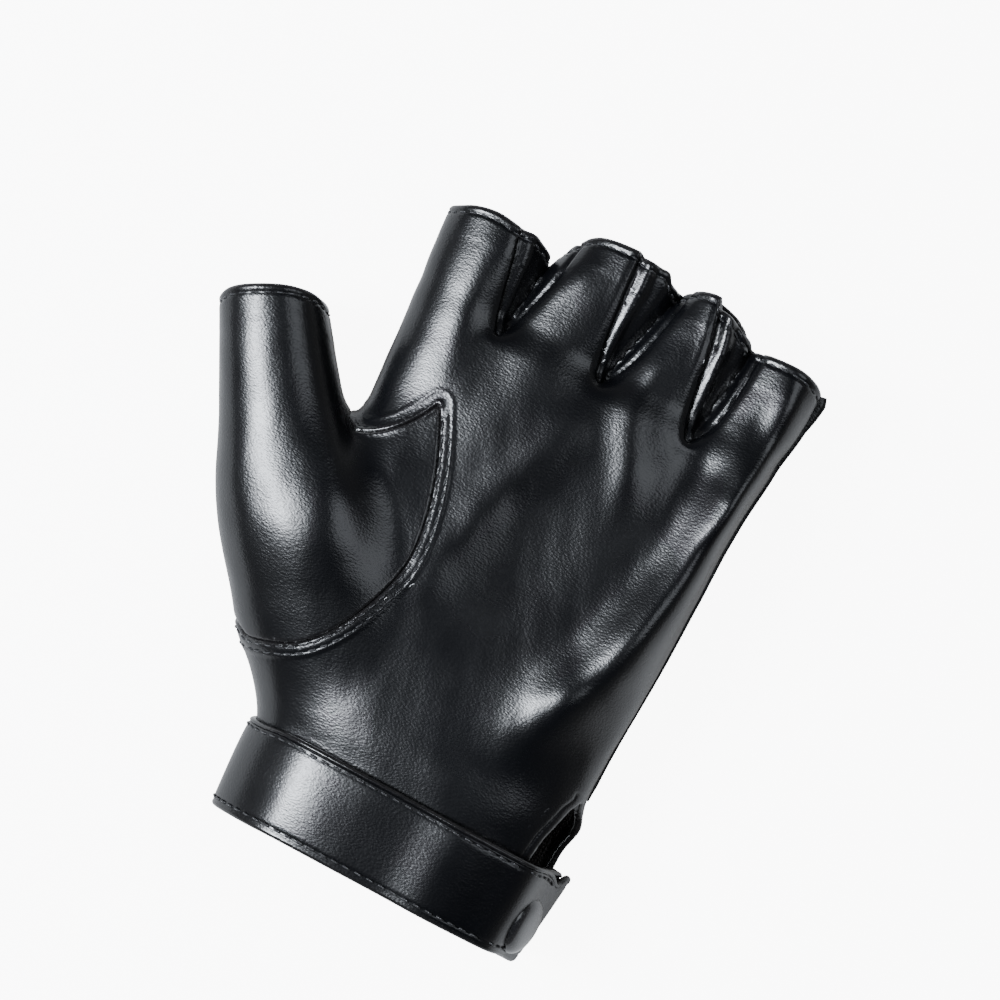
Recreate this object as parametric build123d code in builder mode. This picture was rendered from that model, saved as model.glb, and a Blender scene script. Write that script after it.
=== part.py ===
from build123d import *
import os
from math import copysign, cos, hypot, pi, radians, sin

os.makedirs("parts", exist_ok=True)

# Left glove lying on its back, palm up. Millimetres.
# Origin: centre of the wrist opening.
# +Y runs toward the fingertips, +X toward the little finger, +Z out of the palm.
LEATHER = 1.1
HEM_FOLD = 0.9
HEM_DEPTH = 8.0
CUFF_HEIGHT = 22.0
CUFF_CENTRE = 0.8
CUFF_HALF_WIDTH = 40.7
CUFF_HALF_DEPTH = 20.0
ROUNDNESS = 2.3
BAND = 2.2
FACING = 0.8
TAB_LENGTH = 19.6
TAB_LEATHER = 1.0
TAB_THICK = 1.5
TAB_POCKET = 2.0
UNDERLAP = 3.1
SNAP_REACH = 10.5
SNAP_HEIGHT = 8.1
SNAP_RADIUS = 7.0
VENT_MIDDLE = 30.2
VENT_HALF_LENGTH = 7.7
VENT_HALF_WIDTH = 5.0
VENT_SHIFT = 4.0
VENT_EDGE = 1.0
THUMB_YAW = 30.0
THUMB_HEM_YAW = 24.0
STITCH = (2.2, 0.45, 0.35)
STITCH_PITCH = 3.0

# Body of the glove: height up the hand, left edge, right edge, back, palm.
BODY = [
    (22.0, -39.2, 37.2, -18.4, 18.4),
    (30.0, -44.6, 36.4, -18.2, 18.4),
    (38.0, -50.5, 35.6, -17.8, 18.2),
    (50.0, -53.5, 35.6, -17.2, 17.8),
    (62.0, -53.0, 36.2, -16.8, 17.4),
    (76.0, -51.5, 36.4, -16.2, 16.6),
    (90.0, -51.2, 36.5, -15.4, 15.6),
    (104.0, -51.8, 36.6, -14.6, 14.6),
    (116.0, -52.6, 37.2, -13.6, 13.4),
    (124.5, -52.8, 37.6, -12.4, 12.2),
]

# Finger stalls: height, left edge, right edge, half depth. The last row is the hem.
FINGERS = {
    "index": [
        (110.0, -50.5, -34.0, 9.0),
        (122.0, -52.8, -32.8, 10.2),
        (134.0, -54.3, -31.6, 10.4),
        (146.5, -55.3, -30.6, 10.2),
    ],
    "middle": [
        (110.0, -30.5, -9.0, 9.5),
        (122.0, -31.6, -7.6, 10.8),
        (136.0, -29.2, -4.5, 10.8),
        (154.0, -26.0, -1.3, 10.2),
    ],
    "ring": [
        (110.0, -5.5, 16.0, 9.5),
        (122.0, -6.6, 17.0, 10.5),
        (136.0, -3.0, 18.4, 10.4),
        (153.3, 0.6, 19.6, 9.6),
    ],
    "little": [
        (110.0, 18.5, 35.0, 8.5),
        (122.0, 18.0, 37.0, 9.6),
        (134.0, 19.6, 38.2, 9.4),
        (147.5, 20.9, 38.6, 8.8),
    ],
}

# Thumb stall: distance along its axis, outer edge, inner edge, centre height, half depth.
THUMB = [
    (46.0, -20.0, 8.0, 2.0, 11.0),
    (60.0, -26.5, 12.0, 3.0, 15.5),
    (74.0, -29.6, 11.0, 4.0, 16.0),
    (90.0, -31.6, 4.0, 5.0, 15.5),
    (104.0, -30.6, 0.0, 6.0, 13.8),
    (118.0, -30.1, -2.6, 6.5, 12.6),
    (133.0, -29.4, -4.5, 7.0, 11.8),
]

# Seam round the thumb on the palm, from the outer edge up to its point, then down to the crotch.
THUMB_SEAM = [
    (-51.9, 37.8),
    (-48.2, 36.7),
    (-38.9, 41.0),
    (-32.5, 48.3),
    (-27.7, 58.6),
    (-25.5, 68.8),
    (-26.7, 79.7),
    (-29.7, 89.7),
    (-33.4, 98.1),
    (-36.1, 103.1),
]
CROTCH_SEAM = [(-36.1, 103.1), (-38.7, 98.3), (-42.4, 93.2), (-46.8, 90.3), (-50.9, 89.9)]
BACK_SEAM = [(-51.9, 37.8), (-46.0, 43.0), (-41.5, 55.0), (-40.0, 68.0), (-42.0, 79.0), (-50.9, 89.9)]
THUMB_OUTSIDE = [
    (-52.4, 91.8),
    (-56.0, 98.0),
    (-66.0, 116.0),
    (-76.0, 130.0),
    (-118.0, 118.0),
    (-118.0, 26.0),
    (-60.0, 31.0),
]

# Side walls between the fingers: left and right edges on the palm half, then on the back half.
FOURCHETTES = {
    "index_middle": (
        [(-38.3, 160.0), (-38.3, 146.0), (-34.4, 131.1), (-32.6, 122.6)],
        [(-31.2, 122.6), (-25.2, 134.0), (-25.0, 160.0)],
        [(-34.0, 160.0), (-34.0, 146.0), (-32.6, 122.6)],
        [(-31.2, 122.6), (-26.4, 134.0), (-24.4, 160.0)],
    ),
    "middle_ring": (
        [(-11.9, 160.0), (-11.9, 154.0), (-9.5, 132.8), (-7.8, 122.6)],
        [(-6.4, 122.6), (0.0, 134.0), (2.2, 160.0)],
        [(-5.5, 160.0), (-5.5, 154.0), (-7.8, 122.6)],
        [(-6.4, 122.6), (-0.4, 134.0), (3.2, 160.0)],
    ),
    "ring_little": (
        [(8.8, 160.0), (8.8, 153.5), (14.0, 131.2), (16.6, 122.6)],
        [(18.2, 122.6), (21.4, 134.0), (22.2, 160.0)],
        [(15.5, 160.0), (15.5, 153.0), (16.6, 122.6)],
        [(18.2, 122.6), (22.6, 134.0), (23.6, 160.0)],
    ),
}

# Outer edge of the standing seam on the little-finger side.
SIDE_SEAM = [
    (37.0, 39.2),
    (36.8, 50.0),
    (37.5, 66.0),
    (37.8, 90.0),
    (37.9, 104.0),
    (39.2, 124.0),
    (40.2, 147.0),
]

TAB_ROOT = Vector(32.0, 0.0, 14.2)
TAB_ALONG = Vector(0.4226, 0.0, -0.9063)
TAB_OUT = Vector(0.9063, 0.0, 0.4226)


def level(height):
    """Plane across the hand at a height, X to the little finger and Z up in it."""
    return Plane.XZ.offset(-height)


def tab_plane(along, height):
    """Plane lying on the tab's outer face, normal outward."""
    origin = TAB_ROOT + TAB_ALONG * along + Vector(0, height, 0)
    return Plane(origin=origin, x_dir=TAB_ALONG, z_dir=TAB_OUT)


def ring_points(centre, half_width, middle, half_depth):
    """Sixteen points round a hand-shaped section."""
    points = []
    for step in range(16):
        turn = 2 * pi * step / 16
        across = copysign(abs(cos(turn)) ** (2 / ROUNDNESS), cos(turn))
        up = copysign(abs(sin(turn)) ** (2 / ROUNDNESS), sin(turn))
        points.append((centre + half_width * across, middle + half_depth * up))
    return points


def tube(stations):
    """Smooth solid through rings given as plane, left, right, back, palm."""
    with BuildPart() as solid:
        for plane, left, right, back, palm in stations:
            middle = (back + palm) / 2
            points = ring_points((left + right) / 2, (right - left) / 2, middle, (palm - back) / 2)
            with BuildSketch(plane):
                with BuildLine():
                    Spline(*points, periodic=True)
                make_face()
        loft()
    return solid.part


def body_tube(inset, start, end):
    rings = []
    for y, left, right, back, palm in [(start, *BODY[0][1:]), *BODY[1:-1], (end, *BODY[-1][1:])]:
        rings.append((level(y), left + inset, right - inset, back + inset, palm - inset))
    return tube(rings)


def finger_tube(name, inset, beyond):
    rows = FINGERS[name]
    rings = [(level(y), lo + inset, hi - inset, inset - half, half - inset) for y, lo, hi, half in rows]
    if beyond:
        y, lo, hi, half = rows[-1]
        rings.append((level(y + beyond), lo + inset, hi - inset, inset - half, half - inset))
    return tube(rings)


def thumb_plane(along, yaw):
    """Plane across the thumb at a distance along its axis."""
    axis = radians(THUMB_YAW)
    tilt = radians(yaw)
    origin = (-along * sin(axis), along * cos(axis), 0)
    return Plane(origin=origin, x_dir=(cos(tilt), sin(tilt), 0), z_dir=(sin(tilt), -cos(tilt), 0))


def thumb_tube(inset, beyond):
    rings = []
    for along, left, right, middle, half in THUMB:
        yaw = THUMB_HEM_YAW if along == THUMB[-1][0] else THUMB_YAW
        depth = half - inset
        rings.append((along, yaw, left + inset, right - inset, middle - depth, middle + depth))
    if beyond:
        rings.append((THUMB[-1][0] + beyond, *rings[-1][1:]))
    return tube([(thumb_plane(along, yaw), *rest) for along, yaw, *rest in rings])


def whole(inset, beyond):
    """Glove as one solid, shrunk by the inset and run past its openings."""
    with BuildPart() as solid:
        add(body_tube(inset, BODY[0][0] - beyond, BODY[-1][0] - inset))
        for name in FINGERS:
            add(finger_tube(name, inset, beyond))
        add(thumb_tube(inset, beyond))
    return solid.part


def prism(outline, low, high, curved=()):
    """Upright block over an outline in the palm plane; curved runs are splines."""
    with BuildPart() as solid:
        with BuildSketch(Plane.XY.offset(low)):
            with BuildLine():
                for run in curved:
                    Spline(*run)
                Polyline(*outline)
            make_face()
        extrude(amount=high - low)
    return solid.part


def lens(grow):
    """Block through the vent at the little-finger edge of the cuff."""
    half = VENT_HALF_LENGTH + grow
    wide = VENT_HALF_WIDTH + grow
    with BuildPart() as solid:
        with BuildSketch(Plane.YZ.offset(26.0)):
            with BuildLine():
                ThreePointArc(
                    (VENT_MIDDLE - half, VENT_SHIFT),
                    (VENT_MIDDLE, VENT_SHIFT + wide),
                    (VENT_MIDDLE + half, VENT_SHIFT),
                )
                ThreePointArc(
                    (VENT_MIDDLE + half, VENT_SHIFT),
                    (VENT_MIDDLE, VENT_SHIFT - wide),
                    (VENT_MIDDLE - half, VENT_SHIFT),
                )
            make_face()
        extrude(amount=16.0)
    return solid.part


def save(part, name):
    part.label = name
    export_step(part, f"parts/{name}.step")


# Skin of the glove, cut into its panels along the seams.
outer = whole(0.0, 0.0)
void = whole(LEATHER, 2.0)
with BuildPart() as skin:
    add(outer)
    add(void, mode=Mode.SUBTRACT)

palm_outline = [CROTCH_SEAM[-1], *THUMB_OUTSIDE, THUMB_SEAM[0]]
back_outline = [BACK_SEAM[-1], *THUMB_OUTSIDE, BACK_SEAM[0]]
with BuildPart() as thumb_zone:
    add(prism(palm_outline, 0.0, 40.0, (THUMB_SEAM, CROTCH_SEAM)))
    add(prism(back_outline, -40.0, 0.0, (BACK_SEAM,)))
with BuildPart() as thumb:
    add(skin.part)
    add(thumb_zone.part, mode=Mode.INTERSECT)
save(thumb.part, "thumb")

walls = []
for name, (palm_left, palm_right, back_left, back_right) in FOURCHETTES.items():
    with BuildPart() as zone:
        add(prism([*palm_left, *palm_right, palm_left[0]], 0.0, 40.0))
        add(prism([*back_left, *back_right, back_left[0]], -40.0, 0.0))
    walls.append(zone.part)
    with BuildPart() as fourchette:
        add(skin.part)
        add(zone.part, mode=Mode.INTERSECT)
    save(fourchette.part, f"fourchette_{name}")

with BuildPart() as trank:
    add(skin.part)
    add(thumb_zone.part, mode=Mode.SUBTRACT)
    for zone in walls:
        add(zone, mode=Mode.SUBTRACT)
    add(lens(VENT_EDGE), mode=Mode.SUBTRACT)
save(trank.part, "trank")

with BuildPart() as vent_binding:
    add(skin.part)
    add(lens(VENT_EDGE), mode=Mode.INTERSECT)
    add(lens(0.0), mode=Mode.SUBTRACT)
save(vent_binding.part, "vent_binding")

# Edges of the stalls turned in and sewn down.
for name, rows in FINGERS.items():
    top = rows[-1][0]
    with BuildPart() as hem:
        add(finger_tube(name, LEATHER, 2.0))
        with Locations((0, top - HEM_DEPTH / 2, 0)):
            Box(200, HEM_DEPTH, 60, mode=Mode.INTERSECT)
        add(finger_tube(name, LEATHER + HEM_FOLD, 3.0), mode=Mode.SUBTRACT)
    save(hem.part, f"{name}_hem")

with BuildPart() as thumb_hem:
    add(thumb_tube(LEATHER, 2.0))
    with Locations(thumb_plane(THUMB[-1][0], THUMB_HEM_YAW)):
        Box(80, 80, HEM_DEPTH, align=(Align.CENTER, Align.CENTER, Align.MIN), mode=Mode.INTERSECT)
    add(thumb_tube(LEATHER + HEM_FOLD, 3.0), mode=Mode.SUBTRACT)
save(thumb_hem.part, "thumb_hem")

# Standing seam up the little-finger side, from the vent to the little finger's hem.
with BuildPart() as side_seam:
    with BuildSketch(Plane.XY.offset(-0.45)):
        with BuildLine():
            Spline(*SIDE_SEAM)
            Polyline(SIDE_SEAM[-1], (30.0, SIDE_SEAM[-1][1]), (30.0, SIDE_SEAM[0][1]), SIDE_SEAM[0])
        make_face()
    extrude(amount=0.9)
    add(outer, mode=Mode.SUBTRACT)
save(side_seam.part, "side_seam")


# Cuff: an outer band and a facing, both open under the root of the tab.
def cuff_block(inset, flat, start, height):
    """Solid of the wrist section, its little-finger corner cut flat."""
    points = ring_points(CUFF_CENTRE, CUFF_HALF_WIDTH - inset, 0, CUFF_HALF_DEPTH - inset)
    with BuildPart() as solid:
        with BuildSketch(level(start)):
            with BuildLine():
                Spline(*points, periodic=True)
            make_face()
        extrude(amount=-height)
        with Locations(tab_plane(0, start + height / 2)):
            with Locations((0, 0, -flat)):
                Box(80, 60, 20, align=(Align.CENTER, Align.CENTER, Align.MIN), mode=Mode.SUBTRACT)
    return solid.part


def tab_slab(start, end, low, high, bottom, top):
    """Block square to the tab: along it, depth below its outer face, height on the cuff."""
    with BuildPart() as solid:
        with Locations(tab_plane((start + end) / 2, (bottom + top) / 2)):
            with Locations((0, 0, -(low + high) / 2)):
                Box(end - start, top - bottom, high - low)
    return solid.part


def snap_disc(radius, low, high):
    """Round block on the snap's axis between two depths below the tab's outer face."""
    with BuildPart() as solid:
        with Locations(tab_plane(SNAP_REACH, SNAP_HEIGHT)):
            with Locations((0, 0, -high)):
                Cylinder(radius, high - low, align=(Align.CENTER, Align.CENTER, Align.MIN))
    return solid.part


root_gap = tab_slab(0.9, 1.4, -1.0, 8.0, -1.0, CUFF_HEIGHT + 1.0)
with BuildPart() as cuff_band:
    add(cuff_block(0.0, 0.0, 0.0, CUFF_HEIGHT))
    add(cuff_block(BAND, UNDERLAP, -1.0, CUFF_HEIGHT + 2.0), mode=Mode.SUBTRACT)
    add(tab_slab(0.0, 30.0, -5.0, TAB_POCKET, -1.0, CUFF_HEIGHT + 1.0), mode=Mode.SUBTRACT)
    add(root_gap, mode=Mode.SUBTRACT)
    add(snap_disc(4.2, 1.0, 2.3), mode=Mode.SUBTRACT)
    add(snap_disc(1.4, 2.0, 4.0), mode=Mode.SUBTRACT)
    lower_curves = cuff_band.edges().group_by(Axis.Y)[0].filter_by(GeomType.BSPLINE)
    fillet(lower_curves.sort_by(Edge.length)[-1], 0.6)
save(cuff_band.part, "cuff_band")

with BuildPart() as cuff_facing:
    add(cuff_block(BAND, UNDERLAP, 1.0, CUFF_HEIGHT - 2.0))
    add(cuff_block(BAND + FACING, UNDERLAP + FACING, 0.0, CUFF_HEIGHT), mode=Mode.SUBTRACT)
    add(root_gap, mode=Mode.SUBTRACT)
    add(snap_disc(1.4, 2.0, 6.0), mode=Mode.SUBTRACT)
save(cuff_facing.part, "cuff_facing")

# Tab that closes the wrist, with its facing.
root = tab_plane(0.35 + TAB_THICK / 2, CUFF_HEIGHT / 2)
with BuildPart() as tab_outline:
    with BuildSketch(tab_plane(0, CUFF_HEIGHT / 2)):
        with Locations((TAB_LENGTH / 2 + 0.5, 0)):
            RectangleRounded(TAB_LENGTH, CUFF_HEIGHT - 0.6, 2.5)
        with Locations((5.0, 0)):
            Rectangle(7.8, CUFF_HEIGHT - 0.6)
    extrude(amount=-TAB_THICK)
    with Locations(root):
        with Locations((-2.0, 0, 0)):
            Box(4.0, 40.0, 6.0, mode=Mode.SUBTRACT)
    with Locations(root):
        with Locations(Location((0, 0, -TAB_THICK / 2), (90, 0, 0))):
            Cylinder(TAB_THICK / 2, CUFF_HEIGHT - 0.6)

with BuildPart() as strap_tab:
    add(tab_outline.part)
    add(tab_slab(-2.0, 30.0, TAB_LEATHER, 3.0, -1.0, CUFF_HEIGHT + 1.0), mode=Mode.SUBTRACT)
    add(snap_disc(4.5, 0.7, 2.0), mode=Mode.SUBTRACT)
    add(snap_disc(1.5, -1.0, 2.0), mode=Mode.SUBTRACT)
save(strap_tab.part, "strap_tab")

with BuildPart() as strap_facing:
    add(tab_outline.part)
    add(tab_slab(-2.0, 30.0, -1.0, TAB_LEATHER, -1.0, CUFF_HEIGHT + 1.0), mode=Mode.SUBTRACT)
    add(snap_disc(4.5, 0.7, 2.0), mode=Mode.SUBTRACT)
save(strap_facing.part, "strap_facing")

# Press snap: cap and socket on the tab, stud and eyelet on the underlap.
with BuildPart() as snap_cap:
    with BuildSketch(tab_plane(SNAP_REACH, SNAP_HEIGHT)):
        Circle(SNAP_RADIUS)
    extrude(amount=2.2)
    fillet(snap_cap.faces().sort_by(Axis((0, 0, 0), TAB_OUT))[-1].edges(), 1.9)
    add(snap_disc(1.45, 0.0, 0.68))
save(snap_cap.part, "snap_cap")

with BuildPart() as snap_socket:
    add(snap_disc(4.4, 0.7, 1.7))
    add(snap_disc(2.4, 0.85, 2.0), mode=Mode.SUBTRACT)
save(snap_socket.part, "snap_socket")

with BuildPart() as snap_stud:
    add(snap_disc(4.1, 2.0, 2.3))
    add(snap_disc(1.9, 1.2, 2.05))
save(snap_stud.part, "snap_stud")

with BuildPart() as snap_eyelet:
    add(snap_disc(1.3, 2.3, 4.0))
    add(snap_disc(3.6, 3.95, 4.35))
save(snap_eyelet.part, "snap_eyelet")

# Thread. Each row is a group of short stitches standing on the leather.
def stitch_frames(path, pitch, skip):
    """Places and directions at even steps along an edge, leaving out a length at each end."""
    count = int((path.length - 2 * skip) / pitch)
    for step in range(count + 1):
        at = (skip + step * pitch) / path.length
        yield path @ at, path % at


def seat(point, toward, along):
    """Plane on the outside of the glove where a line from the point meets it."""
    ray = Axis(point, toward)
    hits = outer.find_intersection_points(ray)
    spot, normal = min(hits, key=lambda hit: (hit[0] - point).length)
    if normal.dot(ray.direction) > 0:
        normal = -normal
    side = normal.cross(along)
    return Plane(origin=spot + normal * 0.05, x_dir=side.cross(normal), z_dir=normal)


def thread(planes):
    """Group of stitches, one on each plane."""
    with BuildPart() as row:
        with Locations(*planes):
            Box(*STITCH, align=(Align.CENTER, Align.CENTER, Align.MIN))
    return row.part


def ring_edge(plane, left, right, back, palm):
    """Edge round a stall at its hem."""
    points = ring_points((left + right) / 2, (right - left) / 2, (back + palm) / 2, (palm - back) / 2)
    return Edge.make_spline([plane.from_local_coords(p) for p in points], periodic=True)


for name, rows in FINGERS.items():
    top, left, right, half = rows[-1]
    edge = ring_edge(level(top - 2.0), left - 0.5, right + 0.5, -half - 0.5, half + 0.5)
    centre = Vector((left + right) / 2, top - 2.0, 0)
    frames = [
        seat(at, centre - at, way)
        for at, way in stitch_frames(edge, STITCH_PITCH * 1.15, 1.0)
        if abs(at.Z) > 1.5 or at.X < 38.0
    ]
    save(thread(frames), f"{name}_hem_stitch")

along, outer_edge, inner_edge, middle, half = THUMB[-1]
hem_plane = thumb_plane(along - 2.0, THUMB_HEM_YAW)
edge = ring_edge(hem_plane, outer_edge - 2, inner_edge + 2, middle - half - 2, middle + half + 2)
centre = hem_plane.from_local_coords(((outer_edge + inner_edge) / 2, middle))
frames = [seat(at, centre - at, way) for at, way in stitch_frames(edge, STITCH_PITCH * 1.15, 1.0)]
save(thread(frames), "thumb_hem_stitch")

# Two rows beside the thumb seam, on the palm.
for name, beside in (("inner", 1.2), ("outer", 2.7)):
    edge = Edge.make_spline([Vector(x, y, 40.0) for x, y in THUMB_SEAM])
    frames = []
    for at, way in stitch_frames(edge, STITCH_PITCH, 5.0):
        aside = way.cross(Vector(0, 0, 1)) * beside
        frames.append(seat(at + aside, Vector(0, 0, -1), way))
    save(thread(frames), f"thumb_seam_stitch_{name}")


def cuff_row(height):
    """Stitch places round the cuff band, outside the flat of the tab."""
    points = ring_points(CUFF_CENTRE, CUFF_HALF_WIDTH, 0, CUFF_HALF_DEPTH)
    edge = Edge.make_spline([level(height).from_local_coords(p) for p in points], periodic=True)
    frames = []
    for at, way in stitch_frames(edge, STITCH_PITCH, 1.0):
        normal = Vector(0, 1, 0).cross(way)
        if normal.dot(at) < 0:
            normal = -normal
        if (at - TAB_ROOT).dot(TAB_OUT) < -1.0:
            side = normal.cross(way)
            frames.append(Plane(origin=at + normal * 0.05, x_dir=side.cross(normal), z_dir=normal))
    return frames


save(thread(cuff_row(CUFF_HEIGHT - 1.2)), "cuff_top_stitch")
save(thread(cuff_row(2.0)), "cuff_bottom_stitch")

tab_rows = []
for height in (2.0, CUFF_HEIGHT - 1.6):
    for step in range(5):
        reach = 3.4 + step * STITCH_PITCH
        if hypot(reach - SNAP_REACH, height - SNAP_HEIGHT) > SNAP_RADIUS + 1.4:
            tab_rows.append(tab_plane(reach, height).offset(0.05))
save(thread(tab_rows), "strap_stitch")
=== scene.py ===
import math

import bpy
import numpy as np
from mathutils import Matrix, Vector
from mathutils.bvhtree import BVHTree


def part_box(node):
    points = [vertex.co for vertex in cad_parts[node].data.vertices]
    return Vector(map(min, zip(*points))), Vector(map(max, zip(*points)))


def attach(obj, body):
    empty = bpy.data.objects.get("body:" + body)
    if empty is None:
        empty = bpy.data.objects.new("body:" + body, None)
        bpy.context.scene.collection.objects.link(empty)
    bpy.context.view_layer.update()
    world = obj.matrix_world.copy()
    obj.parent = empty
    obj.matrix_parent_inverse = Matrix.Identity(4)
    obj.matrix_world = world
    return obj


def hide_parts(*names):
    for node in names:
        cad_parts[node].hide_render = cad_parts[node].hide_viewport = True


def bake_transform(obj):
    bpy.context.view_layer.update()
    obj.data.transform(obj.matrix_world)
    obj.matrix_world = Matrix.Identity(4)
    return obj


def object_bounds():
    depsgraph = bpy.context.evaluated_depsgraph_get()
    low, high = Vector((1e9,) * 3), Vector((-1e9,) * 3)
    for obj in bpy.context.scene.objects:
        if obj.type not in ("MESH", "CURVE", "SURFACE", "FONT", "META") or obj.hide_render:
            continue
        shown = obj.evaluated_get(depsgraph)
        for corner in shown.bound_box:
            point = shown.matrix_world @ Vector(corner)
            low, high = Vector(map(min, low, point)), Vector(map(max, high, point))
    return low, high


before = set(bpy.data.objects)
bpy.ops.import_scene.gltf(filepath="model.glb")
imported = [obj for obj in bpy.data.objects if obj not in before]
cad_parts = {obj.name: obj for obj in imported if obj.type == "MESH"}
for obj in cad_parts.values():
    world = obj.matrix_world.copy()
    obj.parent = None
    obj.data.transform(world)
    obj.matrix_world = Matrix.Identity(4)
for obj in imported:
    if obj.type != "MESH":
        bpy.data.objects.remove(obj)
cad_low, cad_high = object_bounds()

# Everything below is in millimetres in the row frame, and is scaled to metres when a mesh is made.
# +Y runs to the fingertips, +X to the little finger, +Z out of the palm.
GRID = 0.8
LEATHER = 1.2
HEM_EXTRA = 0.9

# Studio: glow of the floor as the camera sees it and as it lights the glove, and the world's strength
# at the horizon and overhead.
FLOOR_GLOW, FLOOR_REFLECTED = 9.0, 0.3
SKY_LOW, SKY_HIGH = 0.25, 0.0
MIDDLE = (-0.02, 0.08, 0.0)
COOL = (0.88, 0.93, 1.0)
# Softboxes in metres and watts: name, place, aim, size, power, colour.
LIGHTS = [
    ("key", (-0.67, -0.1, 1.0), MIDDLE, (0.22, 0.42), 27.0, COOL),
    ("key_glow", (-0.67, -0.1, 1.0), MIDDLE, (0.5, 0.75), 28.0, COOL),
    ("fill", (0.6, 0.48, 0.95), MIDDLE, (0.6, 0.6), 3.0, COOL),
]
# Camera above the palm, in metres: its place, its roll, and the width it sees at the glove.
EYE, ROLL, VIEW_WIDTH, SENSOR = (-0.0139, 0.0905, 0.9), math.radians(28.2), 0.2273, 36.0

# Height of the leather's bump, in metres, and the angle above which an edge stays sharp.
LEATHER_GRAIN = 0.00004
SHARP = math.radians(58)

STITCH_PITCH, STITCH_LENGTH, STITCH_RADIUS = 3.0, 2.2, 0.24
STITCH_RINGS, STITCH_SIDES = 9, 8
# Rows of stitches: below a stall's hem, outside the thumb seam, and up the cuff from its lower edge.
HEM_ROW = 2.0
SEAM_ROWS = (0.8, 2.4)
CUFF_ROWS = (2.0, 20.1)
# Turned-in leather along the hems and the vent: where it ends inside, and the radius of its edge.
HEM_TURN, HEM_ROUND = (7.6, 8.2), 1.05
VENT_TURN, VENT_ROUND = (4.6, 5.0), 0.9

# Sections of the hand below the fingers: height, left, right, back, palm.
BODY = np.array([
    (14.0, -37.5, 36.4, -17.8, 17.2),
    (22.0, -39.9, 36.6, -18.2, 17.8),
    (30.0, -45.3, 36.2, -18.2, 18.4),
    (38.0, -51.3, 35.8, -17.8, 18.2),
    (50.0, -53.5, 35.6, -17.2, 18.2),
    (62.0, -53.0, 36.2, -16.8, 18.0),
    (76.0, -51.5, 36.4, -16.2, 16.8),
    (90.0, -51.2, 36.5, -15.4, 15.6),
    (104.0, -51.5, 36.3, -14.6, 14.6),
    (116.0, -51.7, 36.0, -13.4, 13.2),
    (128.0, -51.9, 36.6, -11.0, 10.5),
])
BODY_TOP = 124.5

# Stall sections: height, left, right, half depth. Neighbours press together up to where they part.
FINGERS = {
    "index": [
        (90, -45.0, -37.0, 5.0),
        (104, -49.3, -34.5, 8.8),
        (118, -51.9, -32.0, 10.6),
        (132, -54.2, -29.8, 10.8),
        (141, -55.1, -29.3, 10.6),
        (150, -55.9, -31.5, 10.4),
    ],
    "middle": [
        (104, -30.5, -9.0, 9.5),
        (118, -32.3, -6.6, 11.2),
        (134, -30.4, -3.4, 11.2),
        (142, -29.1, -1.2, 11.0),
        (150, -25.8, 0.1, 10.6),
        (158, -23.8, 0.6, 10.4),
    ],
    "ring": [
        (104, -6.0, 16.0, 9.5),
        (118, -7.5, 17.9, 11.0),
        (134, -4.6, 19.7, 10.8),
        (145, -1.6, 20.7, 10.3),
        (150, 0.6, 20.4, 10.0),
        (158, 1.6, 20.2, 9.8),
    ],
    "little": [
        (90, 20.0, 29.0, 4.5),
        (104, 16.8, 33.0, 8.2),
        (118, 17.0, 35.9, 10.2),
        (134, 18.7, 38.9, 9.9),
        (144, 20.0, 39.3, 9.4),
        (152, 21.4, 39.6, 9.0),
    ],
}
HEMS = {
    "index": [
        (-56, 144.2), (-53.5, 145.2), (-50, 146.6), (-44.5, 147.5), (-38, 146.9), (-34, 147.0), (-30, 145.2),
    ],
    "middle": [
        (-28, 147.5), (-25.5, 150.5), (-22, 153.7), (-14, 154.7), (-5, 154.4), (-2.5, 152.0), (0.4, 151.0),
    ],
    "ring": [(0.2, 151.2), (3, 153.4), (8, 154.4), (14, 153.3), (17.5, 151.4), (20.6, 147.6)],
    "little": [(20.4, 147.3), (25, 148.1), (32, 148.4), (37, 147.4), (40, 145.6)],
}
# Where a strip's hem sits lower than the palm's: start, end, drop.
NOTCHES = {"ring": (8.4, 20.0, 2.2), "middle": (-12.2, -3.0, 0.8)}
# Thumb sections, square to a line turned from the fingers: place along it, left, right, middle, half depth.
THUMB_YAW = math.radians(30)
THUMB = np.array([
    (40.0, -14.0, 5.0, 1.0, 9.5),
    (54.0, -24.0, 10.0, 2.0, 14.5),
    (68.0, -28.4, 11.0, 3.0, 16.6),
    (80.0, -30.5, 8.0, 4.0, 16.6),
    (92.0, -30.8, 3.0, 5.0, 15.4),
    (104.0, -29.8, 0.0, 6.0, 13.6),
    (118.0, -29.2, -2.6, 6.5, 12.6),
    (142.0, -28.4, -5.4, 7.5, 11.6),
])
THUMB_HEM = [(-92.1, 100.7), (-89.6, 104.3), (-82.8, 108.4), (-76.5, 111.1), (-71.2, 111.8), (-67.0, 110.0)]

# Edges of the set-in thumb: its seam on the palm side and below the index finger, its line on the back,
# and a way round the stall that closes the outline.
THUMB_SEAM = [
    (-56.0, 39.8), (-51.9, 37.6), (-48.2, 36.9), (-38.9, 41.0), (-32.5, 48.3), (-27.7, 58.6), (-25.5, 68.8),
    (-26.7, 79.7), (-29.7, 89.7), (-33.4, 98.1), (-36.1, 103.1),
]
CROTCH = [(-36.1, 103.1), (-38.7, 98.3), (-42.4, 93.6), (-46.8, 90.2), (-50.2, 89.2), (-52.4, 91.4)]
THUMB_BACK = [
    (-56.0, 39.8), (-51.9, 38.6), (-46.0, 43.0), (-41.5, 55.0), (-40.0, 68.0), (-42.0, 79.0), (-48.5, 87.5),
    (-52.4, 91.4),
]
THUMB_OUT = [(-56.0, 98.0), (-66.0, 116.0), (-76.0, 130.0), (-118.0, 118.0), (-118.0, 30.0), (-64.0, 36.0)]

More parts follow.
